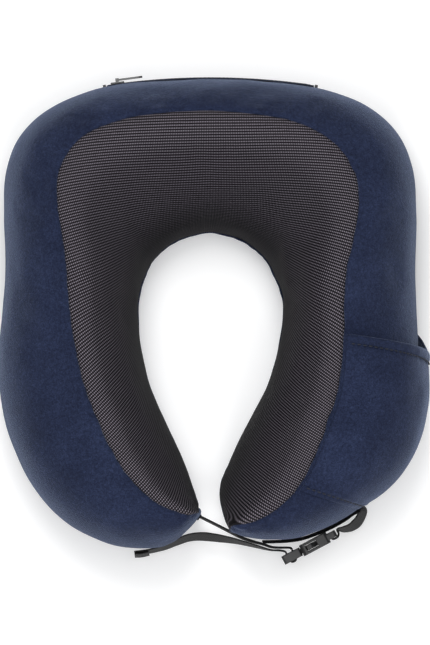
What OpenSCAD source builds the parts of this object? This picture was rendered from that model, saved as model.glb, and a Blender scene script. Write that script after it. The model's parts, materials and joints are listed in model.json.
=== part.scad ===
// U shaped neck pillow: a foam core in a removable cover, with a side pocket,
// a zip at the back and a webbing strap with a side-release buckle between the tips.
// +Z is up, +Y is the back of the neck, and the pillow rests on z = 0.

/* [Pillow] */
// Height of the crown along the two arms
arm_height = 124; // [115:1:132]
// Height of the crown behind the neck
back_height = 116; // [105:1:126]
// Height that is left at the two tips
tip_height = 90; // [80:1:100]
// Height at which the outer wall stands out furthest
belly_height = 50; // [46:1:56]
// Height of the neck opening's edge
neck_edge_height = 26; // [20:1:32]
// Rise of the underside at the tips
tip_lift = 10; // [6:1:14]

/* [Cover] */
// Thickness of the cover's cloth
cloth = 1.2; // [0.8:0.1:1.6]
// Clearance between the cloth and what it covers
clearance = 0.3; // [0.2:0.05:0.5]
// How far the pocket stands off the cover at its mouth
pocket_mouth_gap = 5.6; // [5:0.1:6.5]
// How far the pocket stands off the cover where it is fullest
pocket_belly_gap = 6.2; // [5.5:0.1:7]

/* [Zip] */
// Radius of the back wall that the zip follows
zip_radius = 460; // [455:1:465]
// Half of the angle that the zip spans
zip_half_angle = 8.4; // [7:0.1:8.6]
// Pitch of the zip's teeth
tooth_pitch = 2.4; // [2:0.1:3]

/* [Strap and buckle] */
// Width of the webbing
strap_width = 15; // [14:0.5:15.5]
// Thickness of the webbing
strap_thick = 1.3; // [1:0.1:1.4]
// Height of the middle of the webbing above the floor
strap_mid = 30; // [26:1:34]
// Length of the closed buckle
buckle_length = 39; // [38:0.5:40]
// Width of the buckle
buckle_width = 23; // [22:0.5:24]
// Thickness of the buckle
buckle_thick = 7.5; // [7:0.1:8]

/* [Hidden] */

navy = "#1d2b4f";
charcoal = "#3b3839";
black = "#1b1b1d";
foam_white = "#e8e4da";

// The control ribs, from the left tip round the back to the right tip. Each one runs in
// plan from the outer wall [x, y] to the neck opening [x, y]; the last value is the share
// of its width at which the velour meets the mesh.
ribs = [
    [-9.5, -125, -10.5, -121.5, 0.62],
    [-16, -133, -11, -118.5, 0.62],
    [-28.5, -143, -12.5, -114.5, 0.65],
    [-48.5, -146, -15.5, -106.5, 0.62],
    [-72, -142.5, -19, -96, 0.59],
    [-96.5, -129.5, -24, -84, 0.59],
    [-117.5, -106.5, -30, -71, 0.59],
    [-131.5, -76.5, -36.5, -57, 0.59],
    [-138.5, -45.5, -43, -41, 0.57],
    [-139, -18, -49, -15.5, 0.54],
    [-136.5, 9, -50.5, 8, 0.49],
    [-135, 39, -48.5, 22, 0.45],
    [-135.5, 69.5, -45.5, 31, 0.41],
    [-133.5, 100, -42, 38.5, 0.34],
    [-124, 123, -38, 43.5, 0.28],
    [-103, 140.5, -32, 49, 0.23],
    [-72, 151.5, -23.5, 54, 0.21],
    [-38, 155.5, -14.5, 57, 0.2],
    [-3, 156.7, -3.5, 59, 0.2],
    [32, 155.5, 7, 57, 0.21],
    [66, 151.5, 16.5, 54, 0.23],
    [97, 140.5, 24.5, 49, 0.27],
    [118, 123, 31, 43.5, 0.32],
    [127.5, 100, 35, 38.5, 0.37],
    [129.5, 69.5, 38.5, 31, 0.44],
    [129, 39, 42.5, 22, 0.51],
    [129.5, 9, 45, 8, 0.54],
    [131, -18, 42, -16, 0.54],
    [132, -47, 35, -41.5, 0.54],
    [126.5, -76.5, 26.5, -58.5, 0.54],
    [112, -103.5, 17, -76.5, 0.51],
    [92, -121, 9.5, -92.5, 0.47],
    [73, -132.5, 5, -102.5, 0.45],
    [53.5, -139.8, 3.5, -112.5, 0.47],
    [35, -141.5, 5, -122, 0.55],
    [20.5, -139.8, 7.5, -130.5, 0.78],
    [13, -136.8, 9.5, -134.5, 0.84]
];
last_rib = len(ribs) - 1;
steps_per_rib = 2;
// How far past the seam the crown lies, and the insets of the underside, as shares of the width
crown_lead = 0.07;
outer_foot = 0.17;
inner_foot = 0.13;
// Exponents of the four arcs of a section, in order from the underside's outer edge
arc_power = [2, 2.4, 2.1, 2];

// ---- Sections ----

function mix(a, b, f) = a + (b - a) * f;
function clamp01(v) = min(1, max(0, v));
function smooth(v) = let (c = clamp01(v)) c * c * (3 - 2 * c);

// A smooth curve through the rows of p, at place t
function curve_at(p, t) =
    let (
        i = min(floor(t), len(p) - 2),
        f = t - i,
        a = p[max(i - 1, 0)],
        b = p[i],
        c = p[i + 1],
        d = p[min(i + 2, len(p) - 1)]
    )
    b + f / 2 * ((c - a) + f * ((2 * a - 5 * b + 4 * c - d) + f * (3 * (b - c) + d - a)));

// How far a place t is from the nearer tip, in ribs, and the rounding that it gives a nose
function from_tip(t) = min(t, last_rib - t);
function nose(t, ribs_long) = let (f = clamp01(from_tip(t) / ribs_long)) sqrt(1 - pow(1 - f, 2));
function crown_height(t) =
    mix(tip_height, mix(arm_height, back_height, smooth((from_tip(t) - 10) / 6)), nose(t, 7));
function underside(t) = tip_lift * (1 - nose(t, 4));

// A point of the section at place t: "inset" is how far it lies inside the cover's outer
// face, and "arc" runs 0..1 up the outer wall's lower half, 1..2 to the crown, 2..3 down
// to the neck opening's edge and 3..4 to the underside.
function section_point(t, inset, arc) =
    let (
        rib = curve_at(ribs, t),
        outer = [rib[0], rib[1]],
        across = [rib[2], rib[3]] - outer,
        width = norm(across),
        side = min(inset, 0.1 * width),
        crown_at = (rib[4] + crown_lead) * width,
        top = crown_height(t) - inset,
        low = underside(t) + inset,
        part = min(floor(arc), 3),
        angle = 90 * (arc - part),
        away = pow(abs(sin(angle)), 2 / arc_power[part]),
        along = pow(abs(cos(angle)), 2 / arc_power[part]),
        place =
            part == 0 ? [mix(outer_foot * width, side, away), mix(belly_height, low, along)] :
            part == 1 ? [mix(crown_at, side, along), mix(belly_height, top, away)] :
            part == 2 ? [mix(crown_at, width - side, away), mix(neck_edge_height, top, along)] :
            [mix((1 - inner_foot) * width, width - side, along),
             mix(neck_edge_height, low, away)]
    )
    [outer[0] + across[0] * place[0] / width, outer[1] + across[1] * place[0] / width, place[1]];

// The arc value at which the velour meets the mesh
function seam_arc(t) =
    let (
        rib = curve_at(ribs, t),
        left = 1 - rib[4] / (rib[4] + crown_lead)
    )
    1 + acos(pow(left, arc_power[1] / 2)) / 90;

// The places from t0 to t1, steps_per_rib to each rib
function places(t0, t1) =
    let (n = ceil((t1 - t0) * steps_per_rib))
    [for (i = [0:n]) mix(t0, t1, i / n)];

// A strip of cloth's ring at one place: the outer face from arc a0 to a1 and back inside it
function cloth_ring(t, a0, a1, n, face, thick) = concat(
    [for (j = [0:n]) section_point(t, face, mix(a0, a1, j / n))],
    [for (j = [n:-1:0]) section_point(t, face + thick, mix(a0, a1, j / n))]
);

// A closed solid through rings that all have the same even number of points
module skin(rings) {
    n = len(rings[0]);
    last = len(rings) - 1;
    sides = [
        for (i = [0:last - 1], j = [0:n - 1])
            let (a = i * n + j, b = i * n + (j + 1) % n)
            each [[a, a + n, b + n], [a, b + n, b]]
    ];
    caps = [
        for (j = [0:n / 2 - 2])
            each [
                [j, j + 1, n - 2 - j],
                [j, n - 2 - j, n - 1 - j],
                [last * n + j, last * n + n - 2 - j, last * n + j + 1],
                [last * n + j, last * n + n - 1 - j, last * n + n - 2 - j]
            ]
    ];
    polyhedron(points = [for (ring = rings) each ring], faces = concat(sides, caps));
}

// ---- Pillow body and cover ----

foam_start = 1.25;
// The cover stands off the foam by this much, where the foam's edges bridge its curves
foam_gap = 1.6;

module foam_core() {
    inset = cloth + foam_gap;
    arcs = [0, 0.35, 0.7, 1, 1.2, 1.4, 1.6, 1.8, 2, 2.2, 2.4, 2.6, 2.8, 3, 3.5, 4];
    color(foam_white)
        skin([
            for (t = places(foam_start, last_rib - foam_start))
                [for (arc = arcs) section_point(t, inset, arc)]
        ]);
}

module mesh_panel() {
    color(charcoal)
        skin([
            for (t = places(0, last_rib))
                cloth_ring(t, seam_arc(t) + 0.02, 4, 9, 0, cloth)
        ]);
}

module outer_panel() {
    color(navy)
        skin([for (t = places(0, last_rib)) cloth_ring(t, 0, seam_arc(t), 8, 0, cloth)]);
}

// The underside is flat from this rib to the same one on the other arm
flat_from = 4;
foot_gap = 0.4;

function foot_outer(t) = let (p = section_point(t, 0, 0)) [p[0], p[1]];
function foot_inner(t) = let (p = section_point(t, 0, 4)) [p[0], p[1]];
function inward(a, b, gap) = a + (b - a) / norm(b - a) * gap;

module base_panel() {
    flat = places(flat_from, last_rib - flat_from);
    rear = [for (t = flat) inward(foot_outer(t), foot_inner(t), foot_gap)];
    front = [for (i = [len(flat) - 1:-1:0]) inward(foot_inner(flat[i]), foot_outer(flat[i]), foot_gap)];
    color(navy) linear_extrude(cloth) polygon(concat(rear, front));
}

// The rounded underside of a tip, from near its end to the flat base panel
module tip_gusset(t0, t1) {
    skin([
        for (t = places(t0, t1))
            let (
                low = section_point(t, 0, 0),
                high = section_point(t, 0, 4),
                a = inward(low, high, foot_gap),
                b = inward(high, low, foot_gap)
            )
            [a, [a[0], a[1], a[2] + cloth], [b[0], b[1], b[2] + cloth], b]
    ]);
}

module tip_gussets() {
    color(navy) {
        tip_gusset(0.6, flat_from - 0.05);
        tip_gusset(last_rib - flat_from + 0.05, last_rib - 0.6);
    }
}

module care_label() {
    label_corner = [-62, 112];
    label_size = [22, 14, 0.15];
    color("white")
        translate([label_corner[0], label_corner[1], cloth + 0.07]) cube(label_size);
}

// ---- Pocket on the right arm ----

pocket_end = 31;
pocket_low_arc = 0.25;
pocket_cloth = 1;
// Share of the pocket's length that the folded hem takes, and its thickness
hem_share = 0.09;
hem_thick = 0.6;

// The mouth slants from the seam to the outer wall
function pocket_mouth(arc) = mix(27, 26.6, clamp01((arc - 1) / 0.9));
function pocket_arc(t, f) = mix(pocket_low_arc, seam_arc(t) - 0.015, f);
function pocket_gap(t, f, mouth) =
    let (along = clamp01((t - mouth) / (pocket_end - mouth)))
    clearance + sin(180 * f) * (
        pocket_mouth_gap * (1 - pow(along, 3)) +
        (pocket_belly_gap - pocket_mouth_gap) * sin(180 * pow(along, 0.7))
    );

function pocket_point(i_share, f, out) =
    let (
        rough = pocket_arc(27, f),
        mouth = pocket_mouth(rough),
        t = mix(mouth, pocket_end, i_share)
    )
    section_point(t, -pocket_gap(t, f, mouth) - out, pocket_arc(t, f));

function pocket_ring(share, n, low, high) = concat(
    [for (j = [0:n]) pocket_point(share, j / n, high)],
    [for (j = [n:-1:0]) pocket_point(share, j / n, low)]
);

module pocket_panel() {
    color(navy)
        skin([for (i = [0:10]) pocket_ring(i / 10, 10, 0, pocket_cloth)]);
}

module pocket_hem() {
    low = pocket_cloth + 0.05;
    color(navy)
        skin([for (i = [0:1]) pocket_ring(i * hem_share, 10, low, low + hem_thick)]);
}

// ---- Zip along the back wall ----

zip_centre = [-3, 156.7 - zip_radius];
zip_face = zip_radius + clearance;
zip_tape_high = 12;
tape_thick = 0.5;
tooth_gap = 0.35;
tooth_high = 1.6;
slider_angle = 0.55;
slider_rest = zip_half_angle - 0.9;

// A band that follows the zip, from angle a0 to a1 either side of straight back
module zip_band(profile, a0, a1) {
    translate([zip_centre[0], zip_centre[1], belly_height])
        rotate([0, 0, 90 + a0])
            rotate_extrude(angle = a1 - a0, $fn = 720)
                polygon(profile);
}

// The tape: a flat strip at the teeth and a thick sewn edge, above the zip's line
function tape_profile(side) = [
    for (p = [
        [zip_face + 1.4, 1.95],
        [zip_face + 1.4 + tape_thick, 1.95],
        [zip_face + 1.4 + tape_thick, zip_tape_high],
        [zip_face, zip_tape_high],
        [zip_face, 9],
        [zip_face + 1.4, 9]
    ]) [p[0], side * p[1]]
];

module zipper_tape(side) {
    color(navy) zip_band(tape_profile(side), -zip_half_angle, zip_half_angle);
}
module zipper_tape_upper() { zipper_tape(1); }
module zipper_tape_lower() { zipper_tape(-1); }

module zipper_teeth(side) {
    pitch_angle = tooth_pitch / zip_radius * 180 / PI;
    count = floor((zip_half_angle * 2 - 1.2) / pitch_angle);
    low = side > 0 ? tooth_gap : -tooth_gap - tooth_high;
    color(black)
        translate([zip_centre[0], zip_centre[1], belly_height])
            for (i = [0:count - 1])
                rotate([0, 0, 90 - zip_half_angle + 0.6 + (i + (side > 0 ? 0.5 : 0)) * pitch_angle])
                    translate([zip_face + 0.9, -0.6, low])
                        cube([1.6, 1.2, tooth_high]);
}
module zipper_teeth_upper() { zipper_teeth(1); }
module zipper_teeth_lower() { zipper_teeth(-1); }

module zipper_stops() {
    stop = [
        [zip_face + 0.7, -2.6],
        [zip_face + 2.7, -2.6],
        [zip_face + 2.7, 2.6],
        [zip_face + 0.7, 2.6]
    ];
    color(black) {
        zip_band(stop, zip_half_angle + 0.05, zip_half_angle + 0.3);
        zip_band(stop, -zip_half_angle - 0.3, -zip_half_angle - 0.05);
    }
}

pull_pin = 0.6;
pull_face = zip_face + 3.4;

// Turns to the slider's place at the left end of the zip and faces out of the back wall:
// x runs out of the wall, y along the zip towards the left and z up
module at_slider() {
    translate([zip_centre[0], zip_centre[1], belly_height])
        rotate([0, 0, 90 + slider_rest]) children();
}

module zipper_slider() {
    color("dimgray") {
        zip_band([
            [zip_face + 0.3, -4], [zip_face + 0.75, -4],
            [zip_face + 0.75, -0.2], [zip_face + 2.7, -0.2],
            [zip_face + 2.7, -4], [pull_face, -4],
            [pull_face, 4], [zip_face + 2.7, 4],
            [zip_face + 2.7, 0.2], [zip_face + 0.75, 0.2],
            [zip_face + 0.75, 4], [zip_face + 0.3, 4]
        ], slider_rest - slider_angle, slider_rest + slider_angle);
        // The pin of the pull stands between two cheeks
        at_slider()
            translate([pull_face + 1.2, 0, -3.2]) {
                cylinder(h = 6.4, r = pull_pin, $fn = 32);
                for (z = [0, 5.4]) translate([-1.3, -1.1, z]) cube([2.5, 2.2, 1]);
            }
    }
}

module zipper_pull() {
    tab = 18;
    color("dimgray")
        at_slider()
            translate([pull_face + 1.2, 0, 0])
                difference() {
                    union() {
                        translate([0, 0, -2]) cylinder(h = 4, r = 1.15, $fn = 32);
                        translate([-0.6, -tab + 4, -2.6]) cube([1.3, tab - 5.8, 5.2]);
                        translate([-0.6, -3, -2]) cube([1.3, 3, 4]);
                        translate([-0.6, -tab + 4, 0]) rotate([0, 90, 0])
                            cylinder(h = 1.3, r = 2.6, $fn = 48);
                    }
                    translate([0, 0, -3]) cylinder(h = 6, r = pull_pin + 0.05, $fn = 32);
                    translate([-1, -tab + 4, 0]) rotate([0, 90, 0])
                        cylinder(h = 2, r = 1.3, $fn = 32);
                }
}

// ---- Strap and buckle between the tips ----

buckle_at = [61.7, -146.2];
buckle_turn = 28;

// A ribbon of webbing on edge, whose middle runs through the points of a plan route
module ribbon(route, thick = strap_thick) {
    last = len(route) - 1;
    function aim(i) =
        let (d = route[min(i + 1, last)] - route[max(i - 1, 0)])
        [-d[1], d[0]] / norm(d) * thick / 2;
    translate([0, 0, strap_mid - strap_width / 2])
        linear_extrude(strap_width)
            polygon(concat(
                [for (i = [0:last]) route[i] + aim(i)],
                [for (i = [last:-1:0]) route[i] - aim(i)]
            ));
}

// A route of webbing as a smooth curve through hand-set points
function route_of(points, steps) =
    let (n = (len(points) - 1) * steps)
    [for (i = [0:n]) curve_at(points, i / steps)];

// A place in the buckle's own plan: x from the male end to the female end, y through it
function buckle_plan(x, y) =
    buckle_at + [
        x * cos(buckle_turn) - y * sin(buckle_turn),
        x * sin(buckle_turn) + y * cos(buckle_turn)
    ];

lock_entry = buckle_plan(-12.1, 5.7);
left_route = [
    [-8.9, -127.05], [1, -132], [10, -136.6], [17.5, -140.3], [25, -142.9], [31.5, -144.6],
    [38, -146.6], lock_entry
];
tail_route = [
    buckle_plan(-15.6, 4.6),
    [42, -148.6], [36, -148.3], [26, -145.7], [14, -142.7], [2, -140.6], [-8.5, -139.5],
    [-17, -140.3], [-25, -143.2], [-33, -146.6], [-42, -149], [-52.5, -150.4]
];
right_route = [
    buckle_plan(21.6, 1.2), [84, -134.8], [88.5, -133.6], [92.5, -130.6], [95.2, -126.6],
    [96.4, -122.8], [94.6, -121.4], [91, -123.4],
    [84.5, -128.4], [76, -133.4], [67, -137.4], [57, -140.9], [48, -142.4], [38, -142.9]
];

module strap_left() {
    color(black) ribbon(route_of(left_route, 3));
}

// The webbing goes through the lock, round its middle bar and back out as a loose tail
module strap_tail() {
    wrap = [
        buckle_plan(-11.1, 3.9), buckle_plan(-11, 2.4), buckle_plan(-11, 0), buckle_plan(-11, -2),
        buckle_plan(-11.9, -3.3), buckle_plan(-13.3, -3.7), buckle_plan(-14.7, -3.3),
        buckle_plan(-15.6, -2), buckle_plan(-15.6, 0), buckle_plan(-15.6, 2.4)
    ];
    color(black) ribbon(concat(wrap, route_of(tail_route, 3)));
}

module strap_right() {
    wrap = [
        buckle_plan(15.2, 1.8), buckle_plan(15.2, -1.6),
        buckle_plan(16, -2.8), buckle_plan(17.6, -3.1), buckle_plan(19.6, -2.7),
        buckle_plan(20.8, -1.2)
    ];
    color(black) ribbon(concat(wrap, route_of(right_route, 3)));
}

// A folded tab sewn on where the strap meets a tip
module strap_anchor(middle, size, turn) {
    color(black)
        translate([middle[0], middle[1], strap_mid])
            rotate([0, 0, turn])
                translate([-size[0] / 2, -size[1] / 2, -strap_width / 2 - 0.5])
                    cube([size[0], size[1], strap_width + 1]);
}
module strap_anchor_left() { strap_anchor([-10.19, -127.12], [4.4, 0.8], 54); }
module strap_anchor_right() { strap_anchor([34, -142.55], [7, 1], 1); }

module in_buckle() {
    translate([buckle_at[0], buckle_at[1], strap_mid])
        rotate([0, 0, buckle_turn])
            rotate([90, 0, 0]) children();
}

mouth = -6;
bar = 2.6;
bar_thick = 4;
slot_wide = 16.4;
slot_long = 3.2;
half = buckle_length / 2;

// A plate of a given thickness about the buckle's middle plane, with round corners
module plate(x0, x1, wide, thick, corner) {
    translate([0, 0, -thick / 2])
        linear_extrude(thick)
            hull()
                for (x = [x0 + corner, x1 - corner], y = [-1, 1])
                    translate([x, y * (wide / 2 - corner)]) circle(r = corner, $fn = 32);
}

module slot(x0, x1) {
    translate([x0, -slot_wide / 2, -buckle_thick]) cube([x1 - x0, slot_wide, 2 * buckle_thick]);
}

module buckle_female() {
    color(black)
        in_buckle()
            difference() {
                union() {
                    plate(mouth, half - bar - slot_long, buckle_width, buckle_thick, 2.5);
                    plate(6, half, buckle_width - 1, bar_thick, 2);
                }
                translate([mouth - 1, -9.4, -2.2]) cube([17, 18.8, 4.4]);
                translate([mouth + 3.5, -buckle_width, -2.2]) cube([8, 2 * buckle_width, 4.4]);
                slot(half - bar - slot_long, half - bar);
            }
}

prong_root = [-4.6, 7];
knuckle = 1.4;
male_back = -half;

module buckle_male_frame() {
    color(black)
        in_buckle()
            difference() {
                union() {
                    plate(male_back, mouth - 0.4, buckle_width - 2, 5.6, 1.5);
                    plate(mouth - 2, 9, 5, 3, 1);
                    for (side = [-1, 1])
                        translate([mouth - 2, side * prong_root[1] - 2, -1.6]) cube([2.4, 4, 3.2]);
                }
                slot(mouth - 6.6, mouth - 3.6);
                slot(male_back + 2.4, male_back + 5.4);
                for (side = [-1, 1])
                    translate([prong_root[0], side * prong_root[1], -3])
                        cylinder(h = 6, r = knuckle + 0.05, $fn = 48);
            }
}

// A spring arm with a barb that fills the side window of the female half
module buckle_prong(side) {
    color(black)
        in_buckle()
            union() {
                translate([prong_root[0], side * prong_root[1], -1.6])
                    cylinder(h = 3.2, r = knuckle, $fn = 48);
                translate([0, 0, -1.6])
                    linear_extrude(3.2)
                        polygon([
                            for (p = [
                                [prong_root[0], 5.9], [prong_root[0], 8.1], [-2.2, 8.6], [-1.9, 11.2],
                                [1.5, 11.2], [4, 9.6], [5, 9], [7.6, 7.6], [7.6, 6.4], [3, 6.4]
                            ]) [p[0], side * p[1]]
                        ]);
            }
}
module buckle_prong_upper() { buckle_prong(1); }
module buckle_prong_lower() { buckle_prong(-1); }

foam_core();
mesh_panel();
outer_panel();
base_panel();
tip_gussets();
pocket_panel();
pocket_hem();
care_label();
zipper_tape_upper();
zipper_tape_lower();
zipper_teeth_upper();
zipper_teeth_lower();
zipper_stops();
zipper_slider();
zipper_pull();
strap_anchor_left();
strap_anchor_right();
strap_left();
strap_tail();
strap_right();
buckle_female();
buckle_male_frame();
buckle_prong_upper();
buckle_prong_lower();
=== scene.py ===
"""The looks of a U shaped neck pillow: a velour and mesh cover over foam, a side pocket,
a zip behind and a webbing strap with a side-release buckle. Lengths are in metres."""
import json
import math

import bmesh
import bpy
import numpy as np
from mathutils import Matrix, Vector


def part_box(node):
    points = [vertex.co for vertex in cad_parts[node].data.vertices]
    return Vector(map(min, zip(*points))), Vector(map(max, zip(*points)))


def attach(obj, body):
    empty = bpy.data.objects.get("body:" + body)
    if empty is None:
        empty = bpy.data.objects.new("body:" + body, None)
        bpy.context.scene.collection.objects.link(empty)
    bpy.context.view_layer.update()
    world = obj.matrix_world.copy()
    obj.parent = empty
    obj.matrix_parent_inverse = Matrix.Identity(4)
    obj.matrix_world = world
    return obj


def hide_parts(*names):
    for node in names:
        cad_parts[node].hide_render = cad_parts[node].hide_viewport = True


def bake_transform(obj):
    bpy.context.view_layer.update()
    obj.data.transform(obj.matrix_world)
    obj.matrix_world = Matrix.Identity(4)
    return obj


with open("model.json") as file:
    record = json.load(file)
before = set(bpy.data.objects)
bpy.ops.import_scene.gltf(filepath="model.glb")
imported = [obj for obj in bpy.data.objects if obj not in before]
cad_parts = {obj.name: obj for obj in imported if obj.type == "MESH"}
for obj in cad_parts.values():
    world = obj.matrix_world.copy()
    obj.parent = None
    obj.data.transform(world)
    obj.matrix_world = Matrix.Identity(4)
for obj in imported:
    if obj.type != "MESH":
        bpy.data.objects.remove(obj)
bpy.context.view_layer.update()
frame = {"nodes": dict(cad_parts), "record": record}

MM = 0.001
SEED = 11

# The control ribs of part.scad, in millimetres, from the left tip round the back to the
# right tip: the outer wall [x, y], the neck opening [x, y] and the seam's share between.
RIBS = np.array([
    [-9.5, -125, -10.5, -121.5, 0.62],
    [-16, -133, -11, -118.5, 0.62],
    [-28.5, -143, -12.5, -114.5, 0.65],
    [-48.5, -146, -15.5, -106.5, 0.62],
    [-72, -142.5, -19, -96, 0.59],
    [-96.5, -129.5, -24, -84, 0.59],
    [-117.5, -106.5, -30, -71, 0.59],
    [-131.5, -76.5, -36.5, -57, 0.59],
    [-138.5, -45.5, -43, -41, 0.57],
    [-139, -18, -49, -15.5, 0.54],
    [-136.5, 9, -50.5, 8, 0.49],
    [-135, 39, -48.5, 22, 0.45],
    [-135.5, 69.5, -45.5, 31, 0.41],
    [-133.5, 100, -42, 38.5, 0.34],
    [-124, 123, -38, 43.5, 0.28],
    [-103, 140.5, -32, 49, 0.23],
    [-72, 151.5, -23.5, 54, 0.21],
    [-38, 155.5, -14.5, 57, 0.2],
    [-3, 156.7, -3.5, 59, 0.2],
    [32, 155.5, 7, 57, 0.21],
    [66, 151.5, 16.5, 54, 0.23],
    [97, 140.5, 24.5, 49, 0.27],
    [118, 123, 31, 43.5, 0.32],
    [127.5, 100, 35, 38.5, 0.37],
    [129.5, 69.5, 38.5, 31, 0.44],
    [129, 39, 42.5, 22, 0.51],
    [129.5, 9, 45, 8, 0.54],
    [131, -18, 42, -16, 0.54],
    [132, -47, 35, -41.5, 0.54],
    [126.5, -76.5, 26.5, -58.5, 0.54],
    [112, -103.5, 17, -76.5, 0.51],
    [92, -121, 9.5, -92.5, 0.47],
    [73, -132.5, 5, -102.5, 0.45],
    [53.5, -139.8, 3.5, -112.5, 0.47],
    [35, -141.5, 5, -122, 0.55],
    [20.5, -139.8, 7.5, -130.5, 0.78],
    [13, -136.8, 9.5, -134.5, 0.84],
])
LAST_RIB = len(RIBS) - 1
ARM_HEIGHT, BACK_HEIGHT, TIP_HEIGHT = 124, 116, 90
BELLY_HEIGHT, NECK_EDGE_HEIGHT, TIP_LIFT = 50, 26, 10
CROWN_LEAD, OUTER_FOOT, INNER_FOOT = 0.07, 0.17, 0.13
ARC_POWER = (2, 2.4, 2.1, 2)
CLOTH = 1.2
CLEARANCE = 0.3
# About how far apart the ribs are along the pillow
RIB_SPACING = 24

# ---------------------------------------------------------------- the pillow's surface


def mix(a, b, f):
    return a + (b - a) * f


def smooth(v):
    c = np.clip(v, 0, 1)
    return c * c * (3 - 2 * c)


def curve_at(rows, t):
    """Places t along a smooth curve through rows."""
    t = np.asarray(t, float)
    i = np.clip(np.floor(t).astype(int), 0, len(rows) - 2)
    f = (t - i)[..., None]
    a, b = rows[np.maximum(i - 1, 0)], rows[i]
    c, d = rows[i + 1], rows[np.minimum(i + 2, len(rows) - 1)]
    return b + f / 2 * ((c - a) + f * ((2 * a - 5 * b + 4 * c - d) + f * (3 * (b - c) + d - a)))


def nose(t, ribs_long):
    f = np.clip(np.minimum(t, LAST_RIB - t) / ribs_long, 0, 1)
    return np.sqrt(1 - (1 - f) ** 2)


def crown_height(t):
    from_tip = np.minimum(t, LAST_RIB - t)
    body = mix(ARM_HEIGHT, BACK_HEIGHT, smooth((from_tip - 10) / 6))
    return mix(TIP_HEIGHT, body, nose(t, 7))


def surface(t, inset, arc):
    """Points of the pillow, in millimetres, at places t along it and arc round its section:
    0..1 up the outer wall, 1..2 to the crown, 2..3 to the neck opening's edge, 3..4 under."""
    t, inset, arc = np.broadcast_arrays(
        np.asarray(t, float), np.asarray(inset, float), np.asarray(arc, float))
    rib = curve_at(RIBS, t)
    outer, across = rib[..., :2], rib[..., 2:4] - rib[..., :2]
    width = np.linalg.norm(across, axis=-1)
    side = np.minimum(inset, 0.1 * width)
    crown_at = (rib[..., 4] + CROWN_LEAD) * width
    top = crown_height(t) - inset
    low = TIP_LIFT * (1 - nose(t, 4)) + inset
    part = np.clip(np.floor(arc).astype(int), 0, 3)
    angle = np.radians(90 * (arc - part))
    power = 2 / np.array(ARC_POWER)[part]
    away = np.abs(np.sin(angle)) ** power
    along = np.abs(np.cos(angle)) ** power
    u = np.choose(part, [
        mix(OUTER_FOOT * width, side, away), mix(crown_at, side, along),
        mix(crown_at, width - side, away), mix((1 - INNER_FOOT) * width, width - side, along)])
    z = np.choose(part, [
        mix(BELLY_HEIGHT, low, along), mix(BELLY_HEIGHT, top, away),
        mix(NECK_EDGE_HEIGHT, top, along), mix(NECK_EDGE_HEIGHT, low, away)])
    plan = outer + across * (u / width)[..., None]
    return np.concatenate([plan, z[..., None]], axis=-1)


def seam_arc(t):
    share = curve_at(RIBS, t)[..., 4]
    left = 1 - share / (share + CROWN_LEAD)
    return 1 + np.degrees(np.arccos(left ** (ARC_POWER[1] / 2))) / 90


def grid_normals(p):
    """Unit normals of a grid of points, pointing out of the pillow."""
    along = np.gradient(p, axis=0)
    across = np.gradient(p, axis=1)
    n = np.cross(across, along)
    return n / np.maximum(np.linalg.norm(n, axis=-1, keepdims=True), 1e-9)


def even_places(t0, t1, count, arc):
    """count places from t0 to t1 that are evenly spaced along the surface at arc."""
    t = np.linspace(t0, t1, 1500)
    run = np.concatenate([[0], np.cumsum(np.linalg.norm(
        np.diff(surface(t, 0, arc), axis=0), axis=-1))])
    return np.interp(np.linspace(0, run[-1], count), run, t)


def waves(p, size, seed, count=26):
    """Smooth noise of about -1 to 1 at points p, whose lumps are about size across."""
    rng = np.random.default_rng(seed)
    out = np.zeros(p.shape[:-1])
    for _ in range(count):
        d = rng.normal(size=p.shape[-1])
        d *= rng.uniform(0.6, 1.5) * math.pi / size / np.linalg.norm(d)
        out += np.sin(p @ d + rng.uniform(0, 2 * math.pi))
    return out / math.sqrt(count / 2) / 1.6


# ---------------------------------------------------------------- meshes


def make_mesh(name, points, faces, body="root", uv=None, smooth_shade=True):
    """A mesh object from points in millimetres. uv is one pair for each point."""
    mesh = bpy.data.meshes.new(name)
    mesh.from_pydata((np.asarray(points) * MM).tolist(), [], faces)
    mesh.validate()
    if uv is not None:
        layer = mesh.uv_layers.new(name="weave")
        index = np.zeros(len(mesh.loops), int)
        mesh.loops.foreach_get("vertex_index", index)
        layer.data.foreach_set("uv", np.asarray(uv)[index].astype(np.float32).ravel())
    mesh.polygons.foreach_set("use_smooth", [smooth_shade] * len(mesh.polygons))
    obj = bpy.data.objects.new(name, mesh)
    bpy.context.scene.collection.objects.link(obj)
    if body is not None:
        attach(obj, body)
    return obj


def grid_faces(rows, columns, wrap=False, first=0):
    last = columns if wrap else columns - 1
    faces = []
    for i in range(rows - 1):
        for j in range(last):
            a, b = i * columns + j, i * columns + (j + 1) % columns
            faces.append((first + a, first + b, first + b + columns, first + a + columns))
    return faces


def cloth_solid(name, top, thick, uv=None, normals=None):
    """A sheet of cloth from a grid of outer points: an outer face, an inner face and edges."""
    rows, columns = top.shape[:2]
    n = grid_normals(top) if normals is None else normals
    low = top - n * thick
    points = np.concatenate([top.reshape(-1, 3), low.reshape(-1, 3)])
    count = rows * columns
    faces = grid_faces(rows, columns)
    faces = [f[::-1] for f in faces]
    under = [tuple(count + v for v in f[::-1]) for f in faces]
    rim = [i * columns for i in range(rows)]
    rim += [(rows - 1) * columns + j for j in range(1, columns)]
    rim += [i * columns + columns - 1 for i in range(rows - 2, -1, -1)]
    rim += [j for j in range(columns - 2, 0, -1)]
    edge = []
    for k, a in enumerate(rim):
        b = rim[(k + 1) % len(rim)]
        edge.append((a, b, b + count, a + count))
    pairs = None if uv is None else np.concatenate([uv.reshape(-1, 2)] * 2)
    obj = make_mesh(name, points, faces + under + edge, uv=pairs)
    mend_normals(obj)
    return obj


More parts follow.
